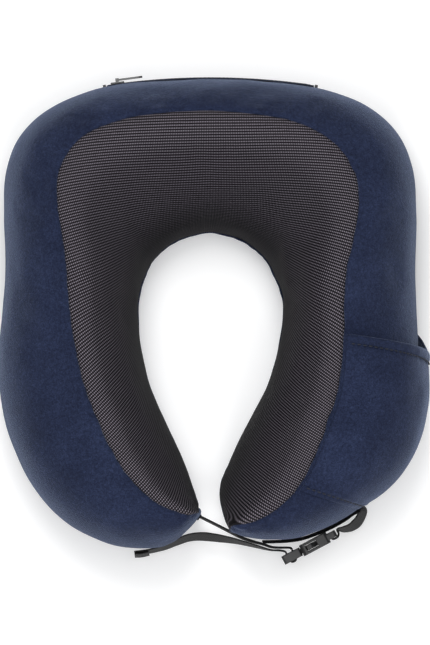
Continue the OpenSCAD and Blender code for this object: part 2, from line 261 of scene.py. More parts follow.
def add_uv(obj, name, pairs):
    """A further UV map for a cloth solid, from one pair for each point of its grid."""
    pairs = np.concatenate([pairs.reshape(-1, 2)] * 2).astype(np.float32)
    index = np.zeros(len(obj.data.loops), int)
    obj.data.loops.foreach_get("vertex_index", index)
    obj.data.uv_layers.new(name=name).data.foreach_set("uv", pairs[index].ravel())


def mend_normals(obj):
    bm = bmesh.new()
    bm.from_mesh(obj.data)
    bmesh.ops.recalc_face_normals(bm, faces=bm.faces)
    bm.to_mesh(obj.data)
    bm.free()


def use(obj, material):
    obj.data.materials.clear()
    obj.data.materials.append(material)


# ---------------------------------------------------------------- materials


class Nodes:
    """A new material's node tree, with short calls to add and join nodes."""

    def __init__(self, name, color, roughness):
        self.material = bpy.data.materials.new(name)
        self.material.use_nodes = True
        self.tree = self.material.node_tree
        self.shader = self.tree.nodes["Principled BSDF"]
        self.shader.inputs["Base Color"].default_value = (*color, 1)
        self.shader.inputs["Roughness"].default_value = roughness

    def add(self, kind, inputs=None, **settings):
        made = self.tree.nodes.new("ShaderNode" + kind)
        for key, value in settings.items():
            setattr(made, key, value)
        for key, value in (inputs or {}).items():
            if isinstance(value, bpy.types.NodeSocket):
                self.tree.links.new(value, made.inputs[key])
            else:
                made.inputs[key].default_value = value
        return made

    def set(self, **values):
        for key, value in values.items():
            self.shader.inputs[key.replace("_", " ")].default_value = value

    def link(self, output, name):
        self.tree.links.new(output, self.shader.inputs[name])

    def math(self, how, a, b=0.0, c=0.0):
        return self.add("Math", {0: a, 1: b, 2: c}, operation=how).outputs[0]

    def noise(self, scale, detail=2.0, rough=0.5, vector=None):
        where = vector or self.place()
        return self.add("TexNoise", {
            "Vector": where, "Scale": scale, "Detail": detail, "Roughness": rough}).outputs["Fac"]

    def place(self):
        return self.add("TexCoord").outputs["Object"]

    def ramp(self, fac, stops):
        made = self.add("ValToRGB", {"Fac": fac})
        row = made.color_ramp.elements
        while len(row) < len(stops):
            row.new(0.5)
        for element, (at, color) in zip(row, stops):
            element.position = at
            element.color = (*color, 1)
        return made.outputs["Color"]

    def blend(self, fac, a, b, how="MIX"):
        made = self.add("Mix", data_type="RGBA", blend_type=how)
        for socket, value in ((0, fac), (6, a), (7, b)):
            if isinstance(value, bpy.types.NodeSocket):
                self.tree.links.new(value, made.inputs[socket])
            elif socket == 0:
                made.inputs[socket].default_value = value
            else:
                made.inputs[socket].default_value = (*value, 1)
        return made.outputs[2]

    def bump(self, height, distance, strength=1.0, normal=None):
        inputs = {"Height": height, "Distance": distance, "Strength": strength}
        if normal is not None:
            inputs["Normal"] = normal
        return self.add("Bump", inputs).outputs["Normal"]


NAVY = (0.0138, 0.0202, 0.0492)
NAVY_DARK = (0.0082, 0.0122, 0.0315)
NAVY_LIGHT = (0.0222, 0.0318, 0.0725)


def velour(name, nap=1.0):
    """Short-pile velour: a mottled nap, fine fibre bump and a sheen at grazing angles."""
    m = Nodes(name, NAVY, 0.92)
    m.set(Sheen_Weight=0.3, Sheen_Roughness=0.35, Sheen_Tint=(0.55, 0.68, 1.0, 1), Specular_IOR_Level=0.15)
    broad = m.noise(38, 3, 0.55)
    mottle = m.noise(460, 4, 0.7)
    fibre = m.noise(2600, 2, 0.6)
    shade = m.math("MULTIPLY_ADD", mottle, 0.6, m.math("MULTIPLY", broad, 0.4))
    base = m.ramp(shade, [(0.34, NAVY_DARK), (0.5, NAVY), (0.66, NAVY_LIGHT)])
    speck = m.ramp(fibre, [(0.3, (0.72, 0.72, 0.72)), (0.7, (1.25, 1.25, 1.25))])
    tuft = m.ramp(m.noise(1150, 2, 0.55), [(0.34, (0.68, 0.68, 0.7)), (0.66, (1.28, 1.28, 1.26))])
    base = m.blend(1.0, base, tuft, "MULTIPLY")
    m.link(m.blend(1.0, base, speck, "MULTIPLY"), "Base Color")
    rough = m.bump(fibre, 0.00035, 0.8 * nap)
    m.link(m.bump(mottle, 0.0009, 0.45 * nap, rough), "Normal")
    return m.material


def spacer_mesh():
    """Knitted spacer mesh: rows of raised light loops with dark holes between them. Its colour
    carries painted shade, darker down the neck's slope to 0.16 of it at the bottom."""
    m = Nodes("spacer_mesh", (0.02, 0.018, 0.02), 0.8)
    m.set(Specular_IOR_Level=0.06, Sheen_Weight=0.02, Sheen_Roughness=0.5)
    uv = m.add("UVMap", uv_map="weave").outputs["UV"]
    parts = m.add("SeparateXYZ", {"Vector": uv})
    x, y = parts.outputs["X"], parts.outputs["Y"]
    column = m.math("FRACT", x)
    up = m.math("FRACT", y)
    wide = m.math("SINE", m.math("MULTIPLY", column, math.pi))
    high = m.math("SINE", m.math("MULTIPLY", up, math.pi))
    loop = m.math("MULTIPLY", m.math("POWER", wide, 2.2), m.math("POWER", high, 2.2))
    band = m.math("POWER", high, 1.5)
    cover = m.math("MULTIPLY_ADD", loop, 0.76, m.math("MULTIPLY", band, 0.24))
    yarn = m.noise(900, 2, 0.6)
    light = m.math("MULTIPLY", cover, m.math("MULTIPLY_ADD", yarn, 0.5, 0.75))
    loops = m.ramp(light, [
        (0.05, (0.006, 0.0052, 0.0066)), (0.35, (0.028, 0.0245, 0.03)),
        (0.85, (0.235, 0.212, 0.247))])
    slope = m.add("SeparateXYZ", {"Vector": m.add("UVMap", uv_map="slope").outputs["UV"]})
    # Painted shade: the colour darkens down the neck's slope, to 0.16 of it at the bottom.
    painted_slope_shade = m.ramp(slope.outputs["X"], [
        (0.02, (1, 1, 1)), (0.1, (0.86, 0.86, 0.87)), (0.17, (0.66, 0.66, 0.67)),
        (0.33, (0.6, 0.6, 0.615)), (0.48, (0.53, 0.53, 0.55)), (0.72, (0.16, 0.16, 0.175))])
    m.link(m.blend(1.0, loops, painted_slope_shade, "MULTIPLY"), "Base Color")
    m.link(m.bump(cover, 0.0005, 0.7), "Normal")
    return m.material


def webbing_cloth():
    """Black polyester webbing: fine ribs across its width, in two slanted sets."""
    m = Nodes("webbing", (0.007, 0.007, 0.0075), 0.7)
    m.set(Specular_IOR_Level=0.25, Sheen_Weight=0.04, Sheen_Roughness=0.4)
    uv = m.add("UVMap", uv_map="weave").outputs["UV"]
    parts = m.add("SeparateXYZ", {"Vector": uv})
    x, y = parts.outputs["X"], parts.outputs["Y"]
    zig = m.math("ABSOLUTE", m.math("SUBTRACT", m.math("FRACT", m.math("MULTIPLY", y, 3.0)), 0.5))
    rib = m.math("SINE", m.math("MULTIPLY", m.math("MULTIPLY_ADD", zig, 2.2, x), 2 * math.pi))
    high = m.math("MULTIPLY_ADD", rib, 0.5, 0.5)
    yarn = m.noise(1500, 2, 0.6)
    tone = m.math("MULTIPLY", high, m.math("MULTIPLY_ADD", yarn, 0.6, 0.7))
    m.link(m.ramp(tone, [(0.1, (0.0025, 0.0025, 0.003)), (0.85, (0.0125, 0.0125, 0.0135))]), "Base Color")
    m.link(m.bump(high, 0.0003, 0.8), "Normal")
    return m.material


def moulded_plastic(name, color, roughness):
    """Moulded plastic with a faint spark-eroded grain and worn, slightly uneven gloss."""
    m = Nodes(name, color, roughness)
    m.set(Specular_IOR_Level=0.5)
    patch = m.noise(120, 3, 0.6)
    grain = m.noise(5200, 2, 0.6)
    m.link(m.math("MULTIPLY_ADD", patch, 0.25, roughness - 0.12), "Roughness")
    light = tuple(min(1, c * 1.5 + 0.002) for c in color)
    m.link(m.ramp(patch, [(0.3, color), (0.75, light)]), "Base Color")
    m.link(m.bump(grain, 0.00006, 0.5), "Normal")
    return m.material


def zip_tape_cloth():
    """Twill zip tape in the cover's navy."""
    m = Nodes("zip_tape", NAVY_DARK, 0.85)
    m.set(Sheen_Weight=0.2, Sheen_Roughness=0.5)
    wave = m.add("TexWave", {
        "Vector": m.place(), "Scale": 900.0, "Distortion": 0.6, "Detail": 1.0},
        wave_type="BANDS", bands_direction="DIAGONAL").outputs["Fac"]
    m.link(m.ramp(wave, [(0.2, NAVY_DARK), (0.8, NAVY_LIGHT)]), "Base Color")
    m.link(m.bump(wave, 0.0002, 0.5), "Normal")
    return m.material


def foam_material():
    """Open-cell foam: cream, with fine pores."""
    m = Nodes("foam", (0.72, 0.66, 0.52), 0.95)
    pores = m.add("TexVoronoi", {"Vector": m.place(), "Scale": 700.0}).outputs["Distance"]
    m.link(m.ramp(pores, [(0.05, (0.42, 0.36, 0.25)), (0.4, (0.78, 0.72, 0.6))]), "Base Color")
    m.link(m.bump(pores, 0.0004, 0.7), "Normal")
    return m.material


def thread_material():
    """Twisted sewing thread, darker than the velour."""
    m = Nodes("thread", (0.006, 0.007, 0.014), 0.7)
    twist = m.noise(2400, 1, 0.5)
    m.link(m.ramp(twist, [(0.3, (0.004, 0.005, 0.01)), (0.7, (0.012, 0.015, 0.03))]), "Base Color")
    m.link(m.bump(twist, 0.0002, 0.6), "Normal")
    return m.material


def label_material():
    """White satin ribbon for the blank care label."""
    m = Nodes("label", (0.8, 0.8, 0.78), 0.5)
    satin = m.noise(1800, 1, 0.4)
    m.link(m.ramp(satin, [(0.3, (0.72, 0.72, 0.7)), (0.7, (0.86, 0.86, 0.84))]), "Base Color")
    m.link(m.bump(satin, 0.0001, 0.4), "Normal")
    return m.material


# ---------------------------------------------------------------- camera, light and floor

FRAME_HIGH = 645 * 0.65 * MM
SILHOUETTE_Z = 0.055
CAMERA_Z = 8.0
LONG_SIDE_SENSOR = 36.0


def make_camera():
    data = bpy.data.cameras.new("camera")
    data.sensor_width = LONG_SIDE_SENSOR
    data.lens = LONG_SIDE_SENSOR * (CAMERA_Z - SILHOUETTE_Z) / FRAME_HIGH
    data.clip_end = 20
    camera = bpy.data.objects.new("camera", data)
    camera.location = (0.0, 0.0, CAMERA_Z)
    bpy.context.scene.collection.objects.link(camera)
    bpy.context.scene.camera = camera


def area_light(name, where, size, power, color=(1, 1, 1)):
    data = bpy.data.lights.new(name, "AREA")
    data.shape = "DISK"
    data.size = size
    data.energy = power
    data.color = color
    light = bpy.data.objects.new(name, data)
    light.location = where
    aim = Vector((0, 0, 0.05)) - Vector(where)
    light.rotation_euler = aim.to_track_quat("-Z", "Y").to_euler()
    bpy.context.scene.collection.objects.link(light)


def make_studio():
    scene = bpy.context.scene
    scene.view_settings.view_transform = "Standard"
    world = bpy.data.worlds.new("studio")
    world.use_nodes = True
    back = world.node_tree.nodes["Background"]
    back.inputs["Color"].default_value = (0.97, 0.98, 1.0, 1)
    back.inputs["Strength"].default_value = 0.24
    scene.world = world
    area_light("key", (-0.12, 0.7, 1.7), 0.8, 15)
    area_light("top", (0.0, 0.1, 2.0), 1.2, 16)
    area_light("front", (0.1, -1.3, 1.0), 0.9, 12)
    points = np.array([[-1, -1, 0], [1, -1, 0], [1, 1, 0], [-1, 1, 0]]) * 3000.0
    mesh = bpy.data.meshes.new("floor")
    points[:, 2] = -0.2
    mesh.from_pydata((points * MM).tolist(), [], [(0, 1, 2, 3)])
    floor = bpy.data.objects.new("floor", mesh)
    scene.collection.objects.link(floor)
    m = Nodes("floor", (0.9, 0.9, 0.9), 0.9)
    faint = m.noise(6, 2, 0.5)
    m.link(m.ramp(faint, [(0.3, (0.89, 0.89, 0.89)), (0.7, (0.92, 0.92, 0.92))]), "Base Color")
    m.set(Emission_Color=(1, 1, 1, 1), Emission_Strength=0.2)
    mesh.materials.append(m.material)


# ---------------------------------------------------------------- the stuffed cover

RING = np.concatenate([
    np.linspace(0, 1, 8)[:-1], np.linspace(1, 2, 15)[:-1],
    np.linspace(2, 3, 17)[:-1], np.linspace(3, 4, 5)])
PUFF_PLACES = 190
# How much of the simulated swelling is used, and the most of it, in millimetres
PUFF_SHARE = 0.4
PUFF_LIMIT = 1.3
PUFF_FRAMES = 20


def inflate():
    """Swells a closed coarse cover with cloth simulation, held at its seams, and returns the
    share of each point's move out of the pillow that the cover keeps, in millimetres."""
    t = even_places(0.25, LAST_RIB - 0.25, PUFF_PLACES, 1.0)
    p = surface(t[:, None], 0, RING[None, :])
    rows, columns = p.shape[:2]
    faces = [f[::-1] for f in grid_faces(rows, columns, wrap=True)]
    faces += [tuple(range(columns)), tuple((rows - 1) * columns + j for j in range(columns))[::-1]]
    obj = make_mesh("puff", p.reshape(-1, 3), faces)
    mend_normals(obj)
    seam = np.abs(RING[None, :] - seam_arc(t)[:, None])
    held = (seam < 0.04) | (RING[None, :] < 0.05) | (RING[None, :] > 3.9)
    held[:2] = True
    held[-2:] = True
    group = obj.vertex_groups.new(name="held")
    group.add([int(i) for i in np.flatnonzero(held.ravel())], 1.0, "REPLACE")
    cloth = obj.modifiers.new("cloth", "CLOTH")
    cloth.settings.vertex_group_mass = "held"
    cloth.settings.effector_weights.gravity = 0
    cloth.settings.use_pressure = True
    cloth.settings.uniform_pressure_force = 4
    cloth.settings.tension_stiffness = 25
    cloth.settings.compression_stiffness = 25
    cloth.settings.bending_stiffness = 2
    cloth.settings.shrink_min = -0.015
    cloth.settings.quality = 6
    cloth.point_cache.frame_start = 1
    cloth.point_cache.frame_end = PUFF_FRAMES
    scene = bpy.context.scene
    for step in range(1, PUFF_FRAMES + 1):
        scene.frame_set(step)
    deps = bpy.context.evaluated_depsgraph_get()
    done = obj.evaluated_get(deps).to_mesh()
    moved = np.zeros(len(done.vertices) * 3)
    done.vertices.foreach_get("co", moved)
    moved = moved.reshape(rows, columns, 3) / MM
    out = ((moved - p) * grid_normals(p)).sum(axis=-1)
    bpy.data.objects.remove(obj)
    scene.frame_set(1)
    return t, np.clip(PUFF_SHARE * out, -0.7 * PUFF_LIMIT, PUFF_LIMIT)


PUFF_T, PUFF = inflate()


def puff_at(t, arc):
    """The simulated swelling at places t and arcs, in millimetres."""
    t, arc = np.broadcast_arrays(t, arc)
    i = np.interp(t, PUFF_T, np.arange(len(PUFF_T)))
    j = np.interp(arc, RING, np.arange(len(RING)))
    i0 = np.clip(np.floor(i).astype(int), 0, len(PUFF_T) - 2)
    j0 = np.clip(np.floor(j).astype(int), 0, len(RING) - 2)
    fi, fj = i - i0, j - j0
    low = mix(PUFF[i0, j0], PUFF[i0, j0 + 1], fj)
    high = mix(PUFF[i0 + 1, j0], PUFF[i0 + 1, j0 + 1], fj)
    return mix(low, high, fi)


def unit(v):
    return v / np.maximum(np.linalg.norm(v, axis=-1, keepdims=True), 1e-9)


def seam_distance(p, edge):
    """The distance over the surface of each grid point from the seam at column edge."""
    step = np.linalg.norm(np.diff(p, axis=1), axis=-1)
    run = np.concatenate([np.zeros((len(p), 1)), np.cumsum(step, axis=1)], axis=1)
    return np.abs(run - run[:, [edge]])


def run_along(p, column):
    step = np.linalg.norm(np.diff(p[:, column], axis=0), axis=-1)
    return np.concatenate([[0], np.cumsum(step)])


def cover_relief(p, away, run, seed, pucker, groove):
    """Height over the plain surface: lumps of the filling, the seam's groove and puckers."""
    lumps = 0.45 * waves(p, 46, seed) + 0.16 * waves(p, 15, seed + 1)
    soft = smooth(away / 14)
    close = np.exp(-away / 2.2)
    line = np.stack([run, run * 0], axis=-1)[:, None, :] + np.stack([away * 0, away * 0.5], axis=-1)
    ripple = waves(line, 5.5, seed + 2) * pucker * np.exp(-away / 6.5) * smooth(away / 1.6)
    ridge = 0.3 * groove * np.exp(-((away - 3.0) / 1.6) ** 2)
    return lumps * soft - groove * close + ridge + ripple


def seam_line(t):
    """The sewn seam's arc at places t, which wanders a little either side of its course."""
    t = np.asarray(t, float)
    return seam_arc(t) + 0.0025 * waves(np.stack([t * RIB_SPACING, 0 * t], axis=-1), 8, SEED + 5)


MESH_COLUMNS = 120
MESH_PLACES = 760
VELOUR_COLUMNS = 86
VELOUR_PLACES = 820


def panel(arc_from, arc_to, places, columns, seam_column, seed, pucker, groove):
    """A cover panel's places, arcs, outer points with their relief, and normals."""
    t = even_places(0.02, LAST_RIB - 0.02, places, 1.6)[:, None]
    share = np.linspace(0, 1, columns)[None, :]
    arc = mix(arc_from(t), arc_to(t), share)
    p = surface(t, 0, arc)
    n = grid_normals(p)
    away = seam_distance(p, seam_column)
    ends = smooth(np.minimum(t, LAST_RIB - t) / 1.2)
    relief = cover_relief(p, away, run_along(p, seam_column), seed, pucker, groove)
    swell = puff_at(t, arc) * smooth(away / 10)
    height = (relief + swell) * ends * mix(1, 0.25, smooth((arc - 2.85) / 0.3))
    return t, arc, p + n * height[..., None], n


def flatten_under(p, low=0.25):
    """Keeps the cloth from going under the surface that the pillow rests on."""
    p = p.copy()
    p[..., 2] = np.maximum(p[..., 2], low)
    return p


def seam_nap(p, n, cloth, count=3600):
    """Loose fibres of the velour's pile that lie over the mesh along the seam."""
    rng = np.random.default_rng(SEED + 9)
    row = rng.uniform(4, len(p) - 5, count)
    i = row.astype(int)
    base = mix(p[i, -1], p[i + 1, -1], (row - i)[:, None])
    reach = unit(p[i, -1] - p[i, -3])
    along = unit(p[i + 1, -1] - p[i, -1])
    up = n[i, -1]
    base = base - reach * rng.uniform(0, 0.8, (count, 1)) - up * 0.15
    aim = unit(reach + along * rng.normal(0, 0.8, (count, 1)) + up * rng.uniform(-0.1, 0.5, (count, 1)))
    tip = base + aim * rng.uniform(0.7, 1.7, (count, 1))
    side = unit(np.cross(aim, up)) * 0.07
    lift = unit(np.cross(side, aim)) * 0.07
    points = np.stack([base + side, base - side, base + lift, tip], axis=1).reshape(-1, 3)
    faces = []
    for k in range(0, 4 * count, 4):
        faces += [(k, k + 2, k + 1), (k, k + 1, k + 3), (k + 1, k + 2, k + 3), (k + 2, k, k + 3)]
    obj = make_mesh("seam_nap", points, faces)
    use(obj, cloth)


def make_velour_cover(cloth):
    _, _, p, n = panel(
        lambda t: 0 * t, lambda t: seam_line(t) + 0.004, VELOUR_PLACES, VELOUR_COLUMNS,
        VELOUR_COLUMNS - 1, SEED, pucker=0.9, groove=0.9)
    seam_nap(p, n, cloth)
    obj = cloth_solid("velour_cover", flatten_under(p, 0.05), CLOTH, normals=n)
    use(obj, cloth)
    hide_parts("outer_panel")
    return obj


# How far the mesh's rows turn from straight across the pillow, in degrees, at ribs along it
ROW_TURNS = np.array([
    [0, 52], [4, 50], [6, 48], [7, 48], [8, 46], [9, 40], [10, 27], [11, 18], [12.5, 14],
    [14, 9], [16, 4], [18, 0], [20, -2], [22, -6], [23.5, -11], [25, -17], [26, -27],
    [27, -40], [28, -41], [29, -36], [30, -31], [31, -27], [36, -24]])
LOOP_PITCH = (1.27, 1.8)


def slope_shares(t, count=160):
    """Arcs from the seam to the base at places t, and their shares of the way down."""
    arcs = mix(seam_arc(t)[:, None], 4, np.linspace(0, 1, count)[None, :])
    step = np.linalg.norm(np.diff(surface(t[:, None], 0, arcs), axis=1), axis=-1)
    run = np.concatenate([np.zeros((len(t), 1)), np.cumsum(step, axis=1)], axis=1)
    return arcs, run / run[:, -1:]


def weave_places(t, arc):
    """The place in the flat cloth of each point of the mesh panel, in loops and rows: the
    flat sheet whose rows best follow ROW_TURNS, found by least squares on a coarse grid."""
    rows, columns = 150, 15
    places = even_places(0.02, LAST_RIB - 0.02, rows, 1.6)
    even = np.linspace(0, 1, columns)
    q = surface(places[:, None], 0, np.stack([
        np.interp(even, shares, arcs) for arcs, shares in zip(*slope_shares(places))]))
    along = unit(np.gradient(q, axis=0))
    across = np.gradient(q, axis=1)
    across = unit(across - along * (across * along).sum(-1, keepdims=True))
    turn = np.radians(np.interp(places, ROW_TURNS[:, 0], ROW_TURNS[:, 1]))
    level = np.stack([np.cos(turn), np.sin(turn), 0 * turn], axis=-1)
    share = unit(np.stack([
        (level * along[:, 0]).sum(-1), (level * across[:, 0]).sum(-1)], axis=-1))
    a, b = share[:, None, :1], share[:, None, 1:]
    course, wale = a * along + b * across, b * along - a * across
    index = np.arange(rows * columns).reshape(rows, columns)
    pairs = [(index[:-1], index[1:]), (index[:, :-1], index[:, 1:])]
    first = np.concatenate([x.ravel() for x, _ in pairs])
    second = np.concatenate([y.ravel() for _, y in pairs])
    flat, course, wale = q.reshape(-1, 3), course.reshape(-1, 3), wale.reshape(-1, 3)
    step = flat[second] - flat[first]
    weight = 1 / (step * step).sum(-1)
    matrix = np.zeros((index.size, index.size))
    np.add.at(matrix, (first, first), weight)
    np.add.at(matrix, (second, second), weight)
    np.add.at(matrix, (first, second), -weight)
    np.add.at(matrix, (second, first), -weight)
    matrix[0, 0] += 1
    sides = []
    for way in (course, wale):
        run = ((way[first] + way[second]) / 2 * step).sum(-1) * weight
        side = np.zeros(index.size)
        np.add.at(side, second, run)
        np.add.at(side, first, -run)
        sides.append(side)
    found = np.linalg.solve(matrix, np.stack(sides, axis=-1)).reshape(rows, columns * 2)
    found = found.reshape(rows, columns, 2)
    found = np.concatenate([
        2 * found[:, :1] - found[:, 1:2], found, 2 * found[:, -1:] - found[:, -2:-1]], axis=1)
    row = np.interp(t[:, 0], places, np.arange(rows))
    column = 1 + (columns - 1) * np.stack([
        np.interp(line, arcs, shares) for line, arcs, shares in zip(arc, *slope_shares(t[:, 0]))])
    lines = curve_at(found.reshape(rows, -1), row).reshape(len(t), columns + 2, 2)
    return np.stack([curve_at(line, at) for line, at in zip(lines, column)]) / np.array(LOOP_PITCH)


def make_mesh_cover(cloth):
    t, arc, p, n = panel(
        lambda t: seam_line(t) + 0.006, lambda t: 4 + 0 * t, MESH_PLACES, MESH_COLUMNS, 0,
        SEED + 20, pucker=0.35, groove=0.9)
    obj = cloth_solid("mesh_cover", flatten_under(p, 0.05), CLOTH, uv=weave_places(t, arc), normals=n)
    # The slope map holds each point's arc past the crown. The mesh material turns it into painted shade
    # further down the neck's slope.
    add_uv(obj, "slope", np.stack([arc - 2, 0 * arc], axis=-1))
    use(obj, cloth)
    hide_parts("mesh_panel")
    return obj


def make_foam(material):
    t = even_places(1.25, LAST_RIB - 1.25, 260, 1.0)[:, None]
    ring = np.linspace(0, 4, 70)[None, :]
    p = surface(t, CLOTH + 3.4, ring)
    rows, columns = p.shape[:2]
    slim = 0.3 * (1 - smooth(np.minimum(t, LAST_RIB - t) / 7))
    p = mix(p, p.mean(axis=1, keepdims=True), slim[..., None])
    p += grid_normals(p) * (0.2 * waves(p, 12, SEED + 40))[..., None]
    faces = grid_faces(rows, columns, wrap=True)
    faces += [tuple(range(columns)), tuple((rows - 1) * columns + j for j in range(columns))]
    obj = make_mesh("foam_core_soft", p.reshape(-1, 3), faces)
    mend_normals(obj)
    use(obj, material)
    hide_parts("foam_core")


def make_base(cloth):
    """The flat underside with a turned-in edge, and its rim up the neck opening's edge."""
    t = even_places(0.1, LAST_RIB - 0.1, 420, 0.0)[:, None]
    a, b = surface(t, 0, 0), surface(t, 0, 4)
    share = np.linspace(0, 1, 40)[None, :, None]
    p = mix(a, b, share)
    step = np.linalg.norm(b - a, axis=-1)
    away = np.minimum(share[..., 0], 1 - share[..., 0]) * step
    lift = 0.9 * np.exp(-away / 1.6) + 0.1 * waves(p, 14, SEED + 50) * smooth(away / 6)
    p = p.copy()
    p[..., 2] += np.clip(lift, 0, None)
    up = np.zeros_like(p)
    up[..., 2] = -1
    obj = cloth_solid("base_cover", p, 1.0, normals=up)
    use(obj, cloth)
    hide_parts("base_panel", "tip_gussets")
    t = even_places(0.6, LAST_RIB - 0.6, 420, 3.0)[:, None]
    wander = 0.12 * waves(np.stack([t * RIB_SPACING, 0 * t], axis=-1), 9, SEED + 51)
    rim = surface(t, wander - 0.75, np.linspace(2.97, 4, 14)[None, :])
    edge = cloth_solid("base_rim", flatten_under(rim, 0.05), 1.0)
    use(edge, cloth)
    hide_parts("base_panel")


def make_tip_gussets(cloth):
    """The narrow cloth facing that closes each arm's tip, from its base up to its crown."""
    share = np.linspace(0, 1, 12)[None, :]
    arc = np.linspace(0, 1.98, 90)[:, None]
    for name, end, inward in (("left", 0.06, 0.4), ("right", LAST_RIB - 0.06, -0.4)):
        flat = mix(surface(end, 0, arc), surface(end, 0, 4 - arc), share[..., None])
        behind = mix(surface(end + inward, 0, arc), surface(end + inward, 0, 4 - arc), share[..., None])
        away = (flat - behind).mean(axis=(0, 1))
        away[2] = 0
        normals = unit(away) * np.ones_like(flat)
        puffed = 0.5 + 0.8 * np.sin(math.pi * share) * np.sin(math.pi * arc / 2)
        top = flat + normals * (puffed + 0.08 * waves(flat, 9, SEED + 55))[..., None]
        gusset = cloth_solid("tip_gusset_" + name, flatten_under(top, 0.1), 2.2, normals=normals)
        use(gusset, cloth)
        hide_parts("tip_gussets")


# ---------------------------------------------------------------- the pocket

POCKET_END = 31
POCKET_LOW_ARC = 0.25
POCKET_CLOTH = 1.0
MOUTH_GAP, BELLY_GAP = 5.6, 6.2
LIP_SHARE = 0.01
# The hem's stitch line at the base and at the seam, and the closed end's, along the pocket
HEM_SHARES = (0.092, 0.062)
END_SEAM_SHARE = 0.965


def pocket_grid(shares, fractions, out):
    """Points of the pocket's cloth, out millimetres off its inner face."""
    f = np.asarray(fractions)[None, :]
    share = np.asarray(shares)
    share = share if share.ndim == 2 else share[:, None]
    rough = mix(POCKET_LOW_ARC, seam_arc(27.0) - 0.015, f)
    mouth = 27.0 - 0.4 * np.clip((rough - 1) / 0.9, 0, 1) - 0.5 * smooth((1 - rough) / 0.5)
    t = mix(mouth, POCKET_END, share)
    along = np.clip((t - mouth) / (POCKET_END - mouth), 0, 1)
    gap = CLEARANCE + np.sin(math.pi * f) * (
        MOUTH_GAP * (1 - along ** 3)
        + (BELLY_GAP - MOUTH_GAP) * np.sin(math.pi * along ** 0.7))
    arc = mix(POCKET_LOW_ARC, seam_arc(t) - 0.015, f)
    return surface(t, -gap - out, arc)


def make_pocket(cloth, thread):
    fractions = np.linspace(0, 1, 170)
    shares = np.linspace(LIP_SHARE + 0.008, 1, 170)
    hem_at = mix(*HEM_SHARES, smooth(fractions))
    p = pocket_grid(shares, fractions, POCKET_CLOTH)
    n = grid_normals(p)
    edge = np.minimum(fractions, 1 - fractions)[None, :]
    end = (1 - shares)[:, None]
    near = smooth(edge / 0.08) * smooth(end / 0.08)
    relief = 0.35 * waves(p, 30, SEED + 60) * near + 0.14 * waves(p, 11, SEED + 61) * near
    below = shares[:, None] - hem_at[None, :]
    pull = waves(np.stack([fractions * 130, 0 * fractions], axis=-1), 3.2, SEED + 63)[None, :]
    relief = relief - 0.55 * np.exp(-(below / 0.011) ** 2) + 0.28 * pull * np.exp(-np.abs(below) / 0.03)
    closed = shares[:, None] - END_SEAM_SHARE
    relief = relief + 0.45 * np.exp(-((closed + 0.022) / 0.012) ** 2) - 0.4 * np.exp(-(closed / 0.01) ** 2)
    relief = relief + 0.2 * np.roll(pull, 9, axis=1) * np.exp(-np.abs(closed) / 0.03)
    p = p + n * relief[..., None]
    obj = cloth_solid("pocket_cloth", p, 0.9, normals=n)
    use(obj, cloth)
    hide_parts("pocket_panel")

    f = np.linspace(0, 1, 30)[:, None]
    lip = pocket_grid(mix(LIP_SHARE, hem_at - 0.004, f), fractions, POCKET_CLOTH + 0.15)
    m = grid_normals(lip)
    round_lip = 1.35 * np.sin(math.pi * f ** 0.7) ** 0.7
    tug = 1 + 0.16 * waves(lip, 8, SEED + 62) + 0.25 * pull * f
    lip = lip + m * (round_lip * tug)[..., None]
    hem = cloth_solid("pocket_lip", lip, 0.5, normals=m)
    use(hem, cloth)
    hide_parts("pocket_hem")
    along = np.linspace(0.03, 0.996, 300)
    hem_line = mix(*HEM_SHARES, smooth(along))[None, :]
    stitch_run("pocket_hem_stitches", pocket_grid(hem_line, along, 1.6)[0], 2.6, 1.2, thread, 0.42)
    stitch_run("pocket_end_stitches", pocket_grid([END_SEAM_SHARE], along, 1.75)[0], 2.6, 1.2, thread, 0.42)


def stitch_run(name, route, length, gap, material, radius=0.28, body="root"):
    """Short threads laid end to end along a route of points, each a closed rounded rod."""
    step = np.linalg.norm(np.diff(route, axis=0), axis=-1)
    run = np.concatenate([[0], np.cumsum(step)])
    points, faces = [], []
    sides, rings = 7, 6
    at = gap
    while at + length < run[-1]:
        s = np.linspace(at, at + length, rings)
        line = np.stack([np.interp(s, run, route[:, k]) for k in range(3)], axis=-1)
        aim = line[-1] - line[0]
        aim /= np.linalg.norm(aim)
        side = np.cross(aim, (1.0, 0, 0) if abs(aim[2]) > 0.9 else (0, 0, 1.0))
        side /= max(np.linalg.norm(side), 1e-6)
        up = np.cross(side, aim)
        first = len(points)
        for k in range(rings):
            fat = radius * math.sqrt(max(0.05, 1 - (2 * k / (rings - 1) - 1) ** 4))
            for j in range(sides):
                angle = 2 * math.pi * j / sides
                points.append(line[k] + side * math.cos(angle) * fat + up * math.sin(angle) * fat)
        faces += grid_faces(rings, sides, wrap=True, first=first)
        faces.append(tuple(first + j for j in range(sides)))
        faces.append(tuple(first + (rings - 1) * sides + j for j in range(sides))[::-1])
        at += length + gap
    obj = make_mesh(name, points, faces, body=body)
    mend_normals(obj)
    use(obj, material)
    return obj


# ---------------------------------------------------------------- webbing and buckle

BUCKLE_AT = np.array([61.7, -146.2])
BUCKLE_TURN = math.radians(28)
STRAP_WIDTH, STRAP_THICK, STRAP_MID = 15.0, 1.3, 30.0
ZIP_RADIUS, ZIP_HALF_ANGLE, ZIP_Z, ZIP_TAPE_HIGH = 460.3, 8.4, 50.0, 12.0
ZIP_CENTRE = (-3.0, -303.3)


def buckle_plan(x, y):
    c, s = math.cos(BUCKLE_TURN), math.sin(BUCKLE_TURN)
    return [BUCKLE_AT[0] + x * c - y * s, BUCKLE_AT[1] + x * s + y * c]


